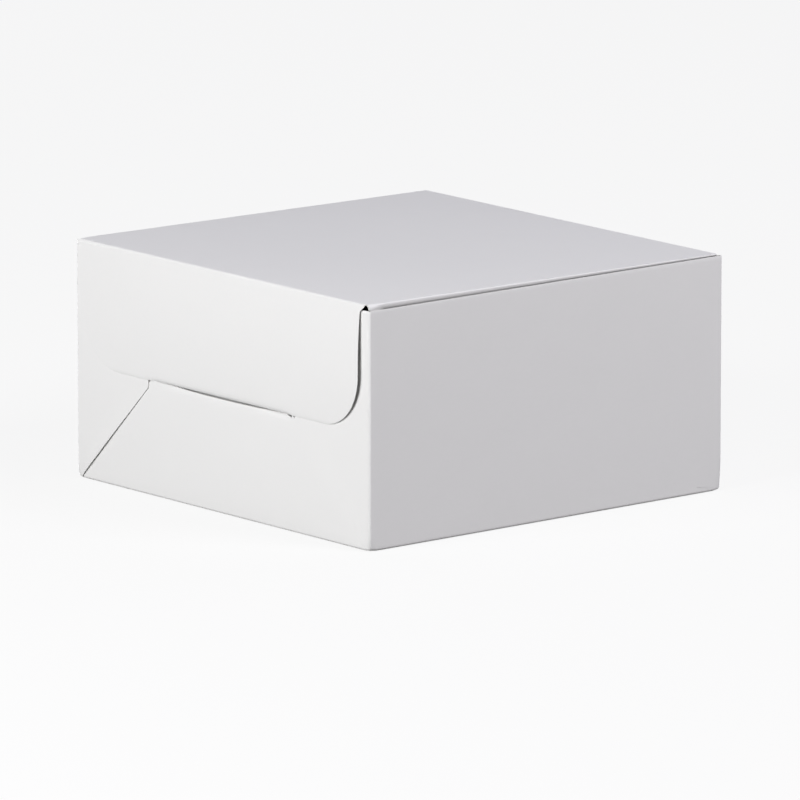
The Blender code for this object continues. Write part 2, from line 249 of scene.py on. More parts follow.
def grid(x, y, z):
    """One array of points (rows, columns, 3) from three arrays that are spread to the same shape."""
    return np.stack(np.broadcast_arrays(x, y, z), axis=-1).astype(float)


def facings(outer):
    """Outward unit vector at each point: the change along the columns crossed with that along the rows."""
    cross = np.cross(np.gradient(outer, axis=1), np.gradient(outer, axis=0))
    return cross / np.maximum(np.linalg.norm(cross, axis=-1, keepdims=True), 1e-15)


def bend_of(outer, normal, radius):
    """How sharply the sheet is bent at each point, as a share of a fold of this radius."""
    bends, least = [], 1e-7
    for axis in (0, 1):
        step = np.linalg.norm(np.gradient(outer, axis=axis), axis=-1)
        turn = np.linalg.norm(np.gradient(normal, axis=axis), axis=-1)
        bends.append(np.where(step > least, turn / np.maximum(step, least), 0))
    return np.clip(np.maximum(*bends) * radius, 0, 1)


def sheet_faces(keep):
    """Four-cornered faces of a closed sheet, as point numbers, and the finish of each.

    The outer face is the kept cells of the grid, the inner face is the same cells turned round on the
    second half of the points, and a face closes each side of a cell that has no kept neighbour.
    """
    rows, columns = keep.shape[0] + 1, keep.shape[1] + 1
    number = np.arange(rows * columns).reshape(rows, columns)
    second = rows * columns
    corners = (number[:-1, :-1], number[:-1, 1:], number[1:, 1:], number[1:, :-1])
    outer = np.stack(corners, axis=-1)[keep]
    around = np.pad(keep, 1)
    neighbours = (around[:-2, 1:-1], around[1:-1, 2:], around[2:, 1:-1], around[1:-1, :-2])
    rims = []
    for side, neighbour in enumerate(neighbours):
        open_side = keep & ~neighbour
        a, b = corners[side][open_side], corners[(side + 1) % 4][open_side]
        rims.append(np.stack([b, a, a + second, b + second], axis=-1))
    rims = np.concatenate(rims)
    finish = np.repeat([0, 1, 2], [len(outer), len(outer), len(rims)])
    return np.concatenate([outer, outer[:, ::-1] + second, rims]), finish


def add_sheet(name, outer, keep=None, normal=None):
    """Puts one sheet of board into the scene, from the grid of points of its outer face.

    The inner face is that grid moved in along its normals by the thickness of the board. Cells that keep
    leaves out are open. Points that fall together are made one.
    """
    sizes = bpy.context.scene.board_sizes
    normal = facings(outer) if normal is None else normal
    keep = np.ones((outer.shape[0] - 1, outer.shape[1] - 1), bool) if keep is None else keep
    points = np.concatenate([outer.reshape(-1, 3), (outer - sizes.board * normal).reshape(-1, 3)])
    bend = np.tile(bend_of(outer, normal, sizes.fold).ravel(), 2)
    faces, finish = sheet_faces(keep)
    used, faces = np.unique(faces, return_inverse=True)
    points, bend, faces = points[used], bend[used], faces.reshape(-1, 4)
    mesh = bpy.data.meshes.new(name)
    mesh.vertices.add(len(points))
    mesh.vertices.foreach_set("co", points.ravel())
    mesh.loops.add(faces.size)
    mesh.loops.foreach_set("vertex_index", faces.ravel())
    mesh.polygons.add(len(faces))
    mesh.polygons.foreach_set("loop_start", np.arange(0, faces.size, 4))
    mesh.polygons.foreach_set("material_index", finish)
    mesh.update(calc_edges=True)
    mesh.attributes.new("bend", "FLOAT", "POINT").data.foreach_set("value", bend)
    for material in finishes():
        mesh.materials.append(material)
    merge_points(mesh)
    mesh.shade_smooth()
    mesh.set_sharp_from_angle(angle=math.radians(40))
    piece = bpy.data.objects.new(name, mesh)
    bpy.context.scene.collection.objects.link(piece)
    return piece


def merge_points(mesh):
    """Makes points that lie together one, and drops the faces that had no width."""
    work = bmesh.new()
    work.from_mesh(mesh)
    bmesh.ops.remove_doubles(work, verts=work.verts, dist=2e-6)
    work.to_mesh(mesh)
    work.free()


def softened(points):
    """Points of the tray whose lower corners are blunt: near a corner of the box a point moves in along the
    corner's diagonal, by a share 1 - 3t^2 + 2t^3 of its full way at a share t of the reach.
    """
    full_way, reach = 0.0009, 0.007
    moved = points.copy()
    for x in (-HALF, HALF):
        for y in (EAR_FACE, BACK_EAR_FACE):
            away = np.linalg.norm(points - np.array([x, y, 0.0]), axis=-1, keepdims=True)
            inwards = np.array([-math.copysign(1, x), -math.copysign(1, y), 1.0]) / math.sqrt(3)
            moved += inwards * full_way * (1 - smooth_step(away, 0, reach))
    return moved


def mirrored(*grids):
    """The same grids on the left: x changes sign, and the columns run the other way to stay facing out."""
    flip = np.array([-1.0, 1.0, 1.0])
    return [g[:, ::-1] * flip if g.ndim == 3 else g[:, ::-1] for g in grids]


# Materials


class Wire:
    """A socket of a node tree that takes part in sums. Each sum adds one Math node."""

    def __init__(self, tree, socket):
        self.tree, self.socket = tree, socket

    def math(self, operation, *values):
        """The outcome of a sum with these values, each a wire or a number."""
        node = self.tree.nodes.new("ShaderNodeMath")
        node.operation = operation
        for slot, value in zip(node.inputs, values):
            plug(self.tree, slot, value)
        return Wire(self.tree, node.outputs[0])

    def __add__(self, other):
        return self.math("ADD", self, other)

    def __radd__(self, other):
        return self.math("ADD", other, self)

    def __sub__(self, other):
        return self.math("SUBTRACT", self, other)

    def __mul__(self, other):
        return self.math("MULTIPLY", self, other)

    def __rmul__(self, other):
        return self.math("MULTIPLY", other, self)

    def clipped(self):
        """This value, held between nothing and one."""
        return self.math("MINIMUM", self.math("MAXIMUM", self, 0.0), 1.0)


def plug(tree, slot, value):
    """Links a wire to a socket, or sets the socket to a plain value."""
    if isinstance(value, Wire):
        tree.links.new(value.socket, slot)
    elif value is not None:
        slot.default_value = value


def by_name(sockets):
    """A node's sockets by name and by identifier. A name that repeats stands for the first that has it."""
    named = {socket.name: socket for socket in reversed(sockets)}
    return named | {socket.identifier: socket for socket in sockets}


class Finish:
    """A material and its node tree."""

    def __init__(self, name):
        self.material = bpy.data.materials.new(name)
        self.material.use_nodes = True
        self.tree = self.material.node_tree
        self.surface = self.tree.nodes["Principled BSDF"]
        self.place = self.node("ShaderNodeTexCoord", {}, {}, "Object")

    def node(self, kind, settings, values, output):
        """Adds a node: its settings first, then its sockets' values or links, by name or identifier."""
        node = self.tree.nodes.new(kind)
        for key, value in settings.items():
            setattr(node, key, value)
        inputs = by_name(node.inputs)
        for key, value in values.items():
            plug(self.tree, inputs[key], value)
        return Wire(self.tree, by_name(node.outputs)[output])

    def noise(self, size, detail, stretch=None):
        """Smooth noise from 0 to 1, whose features are about this many metres across."""
        place = self.place
        if stretch:
            place = self.node("ShaderNodeMapping", {}, {"Vector": place, "Scale": stretch}, "Vector")
        values = {"Vector": place, "Scale": 1 / size, "Detail": detail, "Roughness": 0.55}
        return self.node("ShaderNodeTexNoise", {}, values, "Fac")

    def mix(self, share, first, second):
        """A colour between two others."""
        values = {"Factor_Float": share, "A_Color": first, "B_Color": second}
        return self.node("ShaderNodeMix", {"data_type": "RGBA"}, values, "Result_Color")

    def bumps(self, height, depth, strength=1.0, under=None):
        """A surface normal from a height that goes from 0 to 1 over this depth."""
        values = {"Height": height, "Distance": depth, "Strength": strength, "Normal": under}
        return self.node("ShaderNodeBump", {}, values, "Normal")

    def set(self, **values):
        """Sets or links sockets of the surface."""
        for key, value in values.items():
            plug(self.tree, self.surface.inputs[key.replace("_", " ").title()], value)


def shade(colour, factor):
    """A colour made darker or lighter, as a socket takes it."""
    return (*[min(channel * factor, 1.0) for channel in colour], 1.0)


def grey(level):
    """A grey of this level, as a socket takes it."""
    return (level, level, level, 1.0)


def coated_finish(colour):
    """Clay coating: nearly white, faintly cloudy, with a fine grain and hair cracks along the folds."""
    finish = Finish("coated_board")
    cloud = finish.noise(0.022, 3.0)
    grain = finish.noise(0.0009, 3.0)
    fibre = finish.noise(0.0016, 4.0, (1.0, 0.35, 1.0))
    bend = finish.node("ShaderNodeAttribute", {"attribute_name": "bend"}, {}, "Fac")
    crack = (finish.noise(0.0005, 4.0) * 3.4 - 1.6).clipped() * bend
    tone = (0.30 * cloud + 0.22 * grain + 0.48 * fibre - 0.5) * 1.6 + 0.5
    colour_wire = finish.mix(tone.clipped(), shade(colour, 0.985), shade(colour, 1.012))
    worn = finish.mix((crack * 0.55).clipped(), colour_wire, shade(colour, 0.93))
    finish.set(base_color=worn, roughness=0.46 + 0.16 * fibre + 0.1 * bend, metallic=0.0)
    slow = finish.bumps(finish.noise(0.035, 1.0), 0.00022)
    finish.set(normal=finish.bumps(0.5 * grain + 0.5 * fibre + 0.4 * crack, 0.000018, 0.8, slow))
    return finish.material


def plain_finish(colour):
    """Uncoated back of the board: greyer, duller and fibrous, with fibres lying mostly one way."""
    finish = Finish("plain_board")
    cloud = finish.noise(0.014, 3.0)
    fibre = finish.noise(0.0012, 5.0, (1.0, 0.25, 1.0))
    speck = (finish.noise(0.0007, 2.0) * 9.0 - 6.2).clipped()
    tone = ((0.4 * cloud + 0.6 * fibre - 0.5) * 2.0 + 0.5).clipped()
    colour_wire = finish.mix(tone, shade(colour, 0.93), shade(colour, 1.06))
    finish.set(base_color=finish.mix(speck * 0.5, colour_wire, shade(colour, 0.72)))
    finish.set(roughness=0.78 + 0.14 * fibre, metallic=0.0)
    finish.set(normal=finish.bumps(fibre, 0.00004, 0.9))
    return finish.material


def cut_finish(colour):
    """Raw edge: short torn fibres, light and dark."""
    finish = Finish("cut_board")
    fibre = finish.noise(0.0003, 4.0)
    patch = finish.noise(0.004, 2.0)
    tone = ((0.7 * fibre + 0.3 * patch - 0.5) * 2.4 + 0.5).clipped()
    finish.set(base_color=finish.mix(tone, shade(colour, 0.84), shade(colour, 1.06)))
    finish.set(roughness=0.86 + 0.1 * fibre, metallic=0.0)
    finish.set(normal=finish.bumps(fibre, 0.00006, 0.9))
    return finish.material


def glue_finish(colour):
    """Dried glue: a little yellow and cloudy, with a skin that shines unevenly."""
    finish = Finish("dried_glue")
    cloud = finish.noise(0.003, 3.0)
    finish.set(base_color=finish.mix(cloud, shade(colour, 0.9), shade(colour, 1.05)))
    finish.set(roughness=0.28 + 0.2 * cloud, metallic=0.0, coat_weight=0.2 * cloud)
    finish.set(normal=finish.bumps(cloud, 0.00005, 0.8))
    return finish.material


def finishes():
    """The three finishes of a sheet: outer face, inner face and cut edge."""
    colours = bpy.context.scene.board_colours
    made = bpy.data.materials.get
    return (
        made("coated_board") or coated_finish(colours.coated),
        made("plain_board") or plain_finish(colours.plain),
        made("cut_board") or cut_finish(colours.cut),
    )


def stand_for(piece, *nodes):
    """Hides the imported parts that a piece of board stands for."""
    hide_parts(*nodes)


def place_on(piece, body, *nodes):
    """Parents a piece of board to the empty of a body and hides the imported parts that it stands for."""
    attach(piece, body)
    stand_for(piece, *nodes)


# Sheets of the tray


def bottom_bend(sizes):
    """Inset and height of the rows from the base round to the foot of a wall, and their tilt.

    The lip is level. Then the tilt goes from a quarter turn to nothing: the inset is the radius times one
    less its cosine, and the height the radius times one less its sine.
    """
    tilt = np.linspace(math.pi / 2, 0, BEND_ROWS)
    lip = stops((sizes.fold + sizes.lip, 2), (sizes.fold, 0))[:-1]
    inset = np.concatenate([lip, sizes.fold * (1 - np.cos(tilt))])
    height = np.concatenate([np.zeros(len(lip)), sizes.fold * (1 - np.sin(tilt))])
    return inset, height, np.concatenate([np.full(len(lip), math.pi / 2), tilt])


def over_bend(bend, panel):
    """The rows of a panel with those of the bottom bend before them, all but its last."""
    rows = np.broadcast_to(bend[:-1, None], (len(bend) - 1, panel.shape[1]))
    return np.concatenate([rows, panel])


def side_plan(sizes):
    """Plan of a side sheet: the places of its columns, which way each of them faces and its part.

    The columns go in along the front ear, round a quarter circle, back along the wall, round again and in
    along the back ear.
    """
    r, front_y, back_y = sizes.fold, EAR_FACE + sizes.fold, BACK_EAR_FACE - sizes.fold
    end, back_end = FRONT_EAR_LENGTH, BACK_EAR_LENGTH
    front_ear = stops((end, 10), (end - 0.004, 10), (end - 0.016, 16), (r + EAR_OVERLAP, 4), (r, 0))
    back_ear = stops((r, 18), (back_end - 0.008, 12), (back_end - 0.0005, 3), (back_end, 0))[1:]
    wall = stops((front_y, 4), (front_y + sizes.lip, 40), (back_y - sizes.lip, 4), (back_y, 0))[1:]
    quarter = np.linspace(0, math.pi / 2, 9)[1:]
    runs = (
        (HALF - front_ear, EAR_FACE, -math.pi / 2),
        (HALF - r + r * np.sin(quarter), front_y - r * np.cos(quarter), quarter - math.pi / 2),
        (HALF, wall, 0.0),
        (HALF - r + r * np.cos(quarter), back_y + r * np.sin(quarter), quarter),
        (HALF - back_ear, BACK_EAR_FACE, math.pi / 2),
    )
    runs = [np.stack(np.broadcast_arrays(*run)) for run in runs]
    part = np.repeat(PARTS, [run.shape[1] for run in runs])
    return *np.concatenate(runs, axis=1), part


def wall_slack(sizes, y, along, above):
    """How far a side wall draws in, at these shares of the way along it and up it.

    It bows by 4t(1 - t) of its slack at a share t of the way along, times a sine of the way up. Its upper
    edge also waves a little, by the product of two sines of the depth.
    """
    wave, fading = 0.00007, 0.08
    bow = sizes.slack * (4 * along * (1 - along)) * np.sin(math.pi * 0.75 * above)
    ripple = wave * above**6 * (1 + np.sin(y * 210) * np.sin(y * 77 + 1))
    return bow + ripple * smooth_step(along, 0, fading) * (1 - smooth_step(along, 1 - fading, 1))


def ear_lift(r, along, above_edge):
    """How far the front ear stands off the wall: a bell curve of the distance from its slanting edge, most
    of all near the lower corner.
    """
    most, reach = 0.00066, 0.007
    share = smooth_step(along, r + 0.001, r + 0.009) * (1 - smooth_step(along, 0.020, 0.062))
    return most * share * bell(above_edge / math.sqrt(2), reach)


def side_sheet(sizes):
    """Outer grid, normals and kept cells of the right side wall with its two ears.

    The rows rise from the base. On an ear they are spread between the lower and the upper edge of its
    outline, and on the back ear one of them follows the slanting crease. The last one is drawn in a little.
    """
    r = sizes.fold
    x, y, turn, part = side_plan(sizes)
    front_y, back_y = EAR_FACE + r, BACK_EAR_FACE - r
    from_front = np.where(part < SIDE_WALL, HALF - x, 0)
    from_back = np.where(part > SIDE_WALL, HALF - x, 0)
    low_front, high_front = ear_edges(front_ear_outline(r), FRONT_EAR_LENGTH, from_front)
    low_back, high_back = ear_edges(back_ear_outline(r), BACK_EAR_LENGTH, from_back)
    ears = [part == FRONT_EAR, part == BACK_EAR]
    low = np.select(ears, [low_front, low_back], r)
    high = np.select(ears, [high_front, high_back], WALL_TOP)
    along, middle_share = np.clip((y - front_y) / (back_y - front_y), 0, 1), 0.35
    middle = low + (high - low) * middle_share * (1 - along)
    middle = np.where(part < BACK_EAR, middle, np.clip(from_back, low, high))

    beside = beside_crease(middle - low, high - middle)
    lower = rows_between(low, middle, (0.03, 0.07, 0.12, 0.18, 0.26, 0.38, 0.5, 0.75))
    upper = rows_between(middle, high, (0.1, 0.2, 0.3, 0.4, 0.5, 0.6, 0.7, 0.8, 0.88, 0.94, 0.98))
    below_edge, drawn_in = 0.0006, 0.00014
    upper += [high - np.minimum(below_edge, 0.01 * (high - middle)), high]
    panel = np.stack([low, *lower, middle - beside, middle, middle + beside, *upper])
    inset, height, tilt = bottom_bend(sizes)
    panel_row = len(height) - 1
    z = over_bend(height, panel)
    tilt = over_bend(tilt, np.zeros_like(panel))
    inset = over_bend(inset, np.zeros_like(panel))
    beyond = np.maximum(inset - r, 0)
    inset = np.where(part == SIDE_WALL, inset, np.minimum(inset, r))

    slack = wall_slack(sizes, y, along, np.clip((z - r) / (WALL_TOP - r), 0, 1))
    crease = pressed(sizes, (z - from_back) / math.sqrt(2)) * smooth_step(from_back, r, 0.004)
    lift = ear_lift(r, from_front, z - low)
    inset += np.select([part == SIDE_WALL, *ears], [slack, -lift, crease], 0)
    inset[-1] += drawn_in
    y_row = np.where(part == SIDE_WALL, np.clip(y, front_y + beyond, back_y - beyond), y)
    facing = grid(np.cos(turn), np.sin(turn), 0)[None]
    outer = grid(x, y_row, z) - facing * inset[..., None]
    normal = facing * np.cos(tilt)[..., None] - np.array([0, 0, 1.0]) * np.sin(tilt)[..., None]
    return outer, normal, side_cells(r, part, from_front, np.arange(len(z) - 1)[:, None], panel_row)


def side_cells(r, part, from_front, row, panel_row):
    """Kept cells of a side sheet: the bend under the wall and its corners, and the panel's rows above it.

    The ears are cut off at the panel's first row, but beside its corner the front ear goes on a few rows
    further down round the bend.
    """
    further_down, reach = 5, r + EAR_OVERLAP + 0.0001
    cell_part = np.maximum(part[:-1], part[1:])
    cell_part = np.where(part[:-1] == FRONT_EAR, np.minimum(part[1:], FRONT_CORNER), cell_part)[None]
    on_ear = (cell_part == FRONT_EAR) | (cell_part == BACK_EAR)
    on_corner = (cell_part == FRONT_CORNER) | (cell_part == BACK_CORNER)
    beside_corner = (np.maximum(from_front[:-1], from_front[1:]) < reach)[None]
    wrapped = (cell_part == FRONT_EAR) & beside_corner & (row >= panel_row - further_down)
    keep = np.where(on_ear, (row >= panel_row) | wrapped, True)
    return keep & np.where(on_corner, row > panel_row - BEND_ROWS, True)


def front_ear_outline(r):
    """Corners of the front ear: a slanting lower edge that passes just below the crease under it."""
    end = FRONT_EAR_LENGTH
    low = [(r, r, 0), (r + EAR_OVERLAP, r, 0), (end, end - EAR_OVERLAP, 0.003)]
    return [*low, (end, WALL_TOP, 0.012), (r, WALL_TOP, 0)]


def back_ear_outline(r):
    """Corners of the back ear, which narrows a little towards its end."""
    end, rise, drop, rounding = BACK_EAR_LENGTH, 0.003, 0.016, 0.006
    return [(r, r, 0), (end, r + rise, rounding), (end, WALL_TOP - drop, rounding), (r, WALL_TOP, 0)]


def ear_edges(corners, length, along):
    """Heights of the lower and the upper edge of an ear at these places along it."""
    chain = rounded_chain(corners, 16)
    at_end = np.flatnonzero(np.isclose(chain[:, 0], length, atol=1e-7))
    lower, upper = chain[: at_end[0] + 1], chain[at_end[-1] :][::-1]
    return np.interp(along, lower[:, 0], lower[:, 1]), np.interp(along, upper[:, 0], upper[:, 1])


class CAKEBOX_OT_sides(bpy.types.Operator):
    """Add the two side walls, each one sheet with its front and back ear"""

    bl_idname = "cakebox.sides"
    bl_label = "Side walls and ears"

    def execute(self, context):
        outer, normal, keep = side_sheet(context.scene.board_sizes)
        both = (("right", (outer, normal, keep)), ("left", mirrored(outer, normal, keep)))
        for word, (points, facing, cells) in both:
            piece = add_sheet(word + "_side_board", softened(points), cells, facing)
            nodes = [word + "_wall", f"front_{word}_ear", f"back_{word}_ear_web", f"back_{word}_ear_tab"]
            place_on(piece, "tray", *nodes)
        return {"FINISHED"}


def base_sheet(sizes):
    """Outer grid of the base, up to the lips of the walls. It is level."""
    side = HALF - sizes.fold - sizes.lip
    front = EAR_FACE + sizes.fold + sizes.lip
    back = BACK_EAR_FACE - sizes.fold - sizes.lip
    return grid(np.linspace(-side, side, 31)[None], np.linspace(back, front, 31)[:, None], 0.0)


class CAKEBOX_OT_base(bpy.types.Operator):
    """Add the base"""

    bl_idname = "cakebox.base"
    bl_label = "Base"

    def execute(self, context):
        piece = add_sheet("base_board", softened(base_sheet(context.scene.board_sizes)))
        place_on(piece, "tray", "base_panel")
        return {"FINISHED"}


def slit_levels():
    """Heights of the lower and the upper lip of the slit, on either side of the root of the tongue."""
    return FLAP_FOOT - 0.0005, FLAP_FOOT + 0.0013


def slit_gape(x, left, right):
    """How far the lower lip of the slit hangs down: a little in the middle, nothing at the left end and
    most of all at the right end.
    """
    middle, end, before_end = 0.0007, 0.0011, 0.0003
    gape = middle * np.clip(1 - (x / TONGUE_HALF) ** 2, 0, 1) ** 1.5
    gape -= middle * (1 - smooth_step(x, left, left + 0.034))
    gape += end * smooth_step(x, right - 0.0042, right - 0.0022)
    return gape - before_end * smooth_step(x, right - 0.03, right - 0.01)


def wall_lips(sizes, face, ear_face):
    """Half width of each bend row of the front or back wall, whose lip is mitred to meet the side sheets.

    A lip's end follows the diagonal from the corner of the base.
    """
    inset = bottom_bend(sizes)[0]
    mitre = HALF - sizes.fold - abs(ear_face - face) - np.maximum(inset - sizes.fold, 0)
    return WALL_END + (np.minimum(mitre, WALL_END) - WALL_END) * smooth_step(inset, 0, sizes.fold)


def front_wall_sheet(sizes):
    """Outer grid and kept cells of the front wall.

    At each column one row follows the slanting crease, whose height is what is left of half the width of
    the box. The rows of the slit lie below it, and where it comes lower they are pressed together. The
    lower lip of the slit leans in by a bell curve of the height below it.
    """
    r, near = sizes.fold, 0.006
    left, right = -TONGUE_HALF - 0.0001, TONGUE_HALF + 0.0009
    x = stops((-WALL_END, 26), (left, 6), (left + near, 24), (right - near, 6), (right, 26), (WALL_END, 0))
    low_lip, high_lip = slit_levels()
    top_level = high_lip + 0.001
    levels = stops(
        (r, 6), (low_lip - near, 6), (low_lip - 0.0005, 1), (low_lip, 2), (high_lip, 1), (top_level, 0)
    )
    crease_z = np.clip(HALF - np.abs(x), r, FRONT_TOP)
    below = r + (levels[:, None] - r) * np.minimum(1, (crease_z - r) / (top_level - r))
    beside = beside_crease(crease_z - below[-1], FRONT_TOP - crease_z)
    lower = rows_between(below[-1], crease_z, (0.35, 0.7))
    upper = rows_between(crease_z, FRONT_TOP, (0.15, 0.3, 0.5, 0.7, 0.85, 0.95, 1))
    panel = np.stack([*below, *lower, crease_z - beside, crease_z, crease_z + beside, *upper])
    lip_limit = low_lip + 1e-9  # a hair higher, so that the lip's own row counts as below it
    hanging = smooth_step(panel, low_lip - near, low_lip) * (panel <= lip_limit)
    panel = panel - slit_gape(x, left, right) * hanging

    inset, height, _ = bottom_bend(sizes)
    z = over_bend(height, panel)
    half_share = wall_lips(sizes, FRONT_FACE, EAR_FACE) / WALL_END
    across = x * over_bend(half_share, np.ones_like(panel))
    from_crease = (z - (HALF - np.abs(across))) / math.sqrt(2)
    groove = pressed(sizes, from_crease) * smooth_step(z, 0.003, 0.008)
    lean, lean_reach, outwards = 0.0003, 0.0022, 0.0002
    lean = lean * bell(np.minimum(z - low_lip, 0), lean_reach) * (z <= lip_limit)
    lean *= 1 - smooth_step(np.abs(across), TONGUE_HALF - 0.004, TONGUE_HALF + 0.0008)
    y = FRONT_FACE - outwards + over_bend(inset, np.zeros_like(panel)) + groove + lean

    row = np.arange(len(z) - 1)[:, None] - (len(height) - 1)
    low_row, high_row = np.searchsorted(levels, (low_lip, high_lip))
    middle = (x[:-1] + x[1:])[None] / 2
    slit = (row >= low_row) & (row < high_row) & (middle > left) & (middle < right)
    return grid(across, y, z), ~slit


class CAKEBOX_OT_front_wall(bpy.types.Operator):
    """Add the front wall with its slit and its slanting creases"""

    bl_idname = "cakebox.front_wall"
    bl_label = "Front wall"

    def execute(self, context):
        outer, keep = front_wall_sheet(context.scene.board_sizes)
        piece = add_sheet("front_wall_board", softened(outer), keep)
        place_on(piece, "tray", "front_wall", "front_left_gusset", "front_right_gusset")
        return {"FINISHED"}


def back_wall_top(sizes):
    """Height at which the sheet of the hinge takes over from the back wall, 6 mm below the fold."""
    return HINGE_TOP - sizes.fold - 0.006


def back_wall_sheet(sizes):
    """Outer grid of the back wall, from the lip under the base up to the sheet of the hinge."""
    inset, height, _ = bottom_bend(sizes)
    upright = np.linspace(sizes.fold, back_wall_top(sizes), 18)[:, None]
    half = over_bend(wall_lips(sizes, BACK_FACE, BACK_EAR_FACE), np.full_like(upright, WALL_END))
    y = BACK_FACE - over_bend(inset, np.zeros_like(upright))
    return grid(half * np.linspace(1, -1, 41)[None], y, over_bend(height, upright))


def hinge_sheet(sizes):
    """Outer grid of the top of the back wall, the fold that the lid turns on and the lip on the lid.

    A row's half width follows the slanting cuts at the upper corners, and then the mitre of the lip. The
    fold is a quarter circle.
    """
    r, cut = sizes.fold, 0.005
    top, edge = HINGE_TOP - r, ROLL_FACE - sizes.roll
    turn = np.linspace(0, math.pi / 2, 10)[1:]
    upright = stops((back_wall_top(sizes), 1), (top - cut, 3), (top, 0))
    lip = stops((0, 2), (sizes.lip, 0))[1:]
    half_upright = np.interp(upright, [top - cut, top], [WALL_END, edge])
    half = np.concatenate([half_upright, np.full(len(turn), edge), edge - lip])
    y = BACK_FACE - np.concatenate([np.zeros(len(upright)), r - r * np.cos(turn), r + lip])
    z = np.concatenate([upright, top + r * np.sin(turn), np.full(len(lip), HINGE_TOP)])
    z = np.where(y < LID_BACK_EDGE, LID_TOP - lid_fall(y), z)
    return grid(half[:, None] * np.linspace(1, -1, 41)[None], y[:, None], z[:, None])


class CAKEBOX_OT_back_wall(bpy.types.Operator):
    """Add the back wall"""

    bl_idname = "cakebox.back_wall"
    bl_label = "Back wall"

    def execute(self, context):
        piece = add_sheet("back_wall_board", softened(back_wall_sheet(context.scene.board_sizes)))
        place_on(piece, "tray", "back_wall")
        return {"FINISHED"}


class CAKEBOX_OT_hinge(bpy.types.Operator):
    """Add the fold that the lid turns on"""

    bl_idname = "cakebox.hinge"
    bl_label = "Hinge of the lid"

    def execute(self, context):
        sizes = context.scene.board_sizes
        piece = add_sheet("hinge_board", hinge_sheet(sizes))
        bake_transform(piece)
        stand_for(piece, "back_wall")
        return {"FINISHED"}


class CAKEBOX_OT_glue(bpy.types.Operator):
    """Give the spots of glue their finish"""

    bl_idname = "cakebox.glue"
    bl_label = "Glue"

    def execute(self, context):
        material = glue_finish(context.scene.board_colours.glue)
        for name, node in frame["nodes"].items():
            if name.startswith("glue_"):
                node.data.materials.clear()
                node.data.materials.append(material)
        return {"FINISHED"}


# Sheets of the lid


def lid_sheet(sizes):
    """Outer grid of the lid's flat top, inside its lips. It hangs by a product of two bell-like curves,
    each (1 - s^2)^2 of the share s of the way from the middle to the rim.
    """
    side = ROLL_FACE - sizes.roll - sizes.lip
    front = LID_FACE + sizes.fold + sizes.lip
    back = BACK_FACE - sizes.fold - sizes.lip
    across, deep = np.linspace(-1, 1, 49)[None], np.linspace(-1, 1, 49)[:, None]
    y = (front + back) / 2 + deep * (back - front) / 2
    sag = sizes.sag * (1 - across**2) ** 2 * (1 - deep**2) ** 2
    return grid(side * across, y, LID_TOP - lid_fall(y) - sag)


class CAKEBOX_OT_lid(bpy.types.Operator):
    """Add the top of the lid"""

    bl_idname = "cakebox.lid"
    bl_label = "Lid"

    def execute(self, context):
        piece = add_sheet("lid_board", lid_sheet(context.scene.board_sizes))
        place_on(piece, "lid", "lid_panel")
        return {"FINISHED"}


def flap_half_width(top, sizes):
    """Half widths and heights up the side of the front flap, from the end of its straight lower edge."""
    neck, neck_rounding, half = 0.0026, 0.0018, FLAP_EDGE - sizes.shoulder
    lower = [(0, FLAP_FOOT, 0), (half, FLAP_FOOT, FLAP_CORNER)]
    chain = rounded_chain([*lower, (half, top - neck, neck_rounding), (FLAP_EDGE, top, 0)], 48)[1:]
    return chain[:, 0], chain[:, 1]


def flap_levels(top, heights):
    """Heights of the rows of the front flap, close together at its curled foot, corners and shoulders."""
    straight_top = top - 0.009
    turn = np.linspace(0, math.pi / 2, 21)
    corner = FLAP_FOOT + FLAP_CORNER * (1 - np.cos(turn))
    millimetres_up = np.array([0.2, 0.4, 0.6, 0.8, 1.05, 1.3, 1.6, 2.0, 2.5, 3.1, 3.8, 4.8, 6.0, 8.0])
    straight = np.linspace(FLAP_FOOT + FLAP_CORNER, straight_top, 12)
    shoulder = heights[heights > straight_top]
    return merged(corner, FLAP_FOOT + 0.001 * millimetres_up, straight, shoulder, [top])


def flap_depth(x, z, top, sizes):
    """Depth of the front flap's outer face.

    It bows out by 4t(1 - t) of its fullness at a share t of the way down, more at its right side than at
    its left. The tongue draws its foot in, by the fifth power of what is left of the last few millimetres.
    Past the tongue the foot only comes to rest on the ears.
    """
    reach, rest = 0.006, 0.00024
    down = (top - z) / (top - FLAP_FOOT)
    fullness = 0.62 + np.where(x > 0, 0.2, -0.55) * (x / FLAP_EDGE) ** 2
    bow = (LID_FACE - FLAP_FULLEST) * 4 * down * (1 - down) * fullness
    curl = np.clip(1 - (z - FLAP_FOOT) / reach, 0, 1) ** 5
    window = 1 - smooth_step(np.abs(x), TONGUE_HALF - 0.0029, TONGUE_HALF + 0.0031)
    return LID_FACE - bow + curl * (rest + (sizes.pull - rest) * window)


def tongue_sheet(sizes, inner):
    """Outer grid of the tongue from its tip up, for columns at these shares of its half width.

    Its rows follow a chain: down at half a right angle through the slit, and then straight down against the
    inside of the front wall.
    """
    foot, inside = LID_FACE + sizes.pull, FRONT_FACE + sizes.board + 0.0006
    belly, root, below_root, taper = inside + 0.0030, 0.0009, 0.0045, 0.004
    start = [(foot, FLAP_FOOT, 0), (belly, FLAP_FOOT - root, 0.003)]
    chain = rounded_chain([*start, (belly, FLAP_FOOT - below_root, 0.004), (inside, TONGUE_TIP, 0)], 8)
    down, tip = FLAP_FOOT - chain[:, 1], FLAP_FOOT - TONGUE_TIP
    side = rounded_chain([(TONGUE_HALF, root, 0), (TONGUE_HALF - taper, tip, 0.012), (0, tip, 0)], 14)[:-1]
    levels = merged(down[1:-1], side[:, 1])
    half = np.interp(levels, side[:, 1], side[:, 0])[:, None]
    depth = np.interp(levels, down, chain[:, 0])[:, None]
    return grid(inner * half, depth, (FLAP_FOOT - levels)[:, None])[::-1]


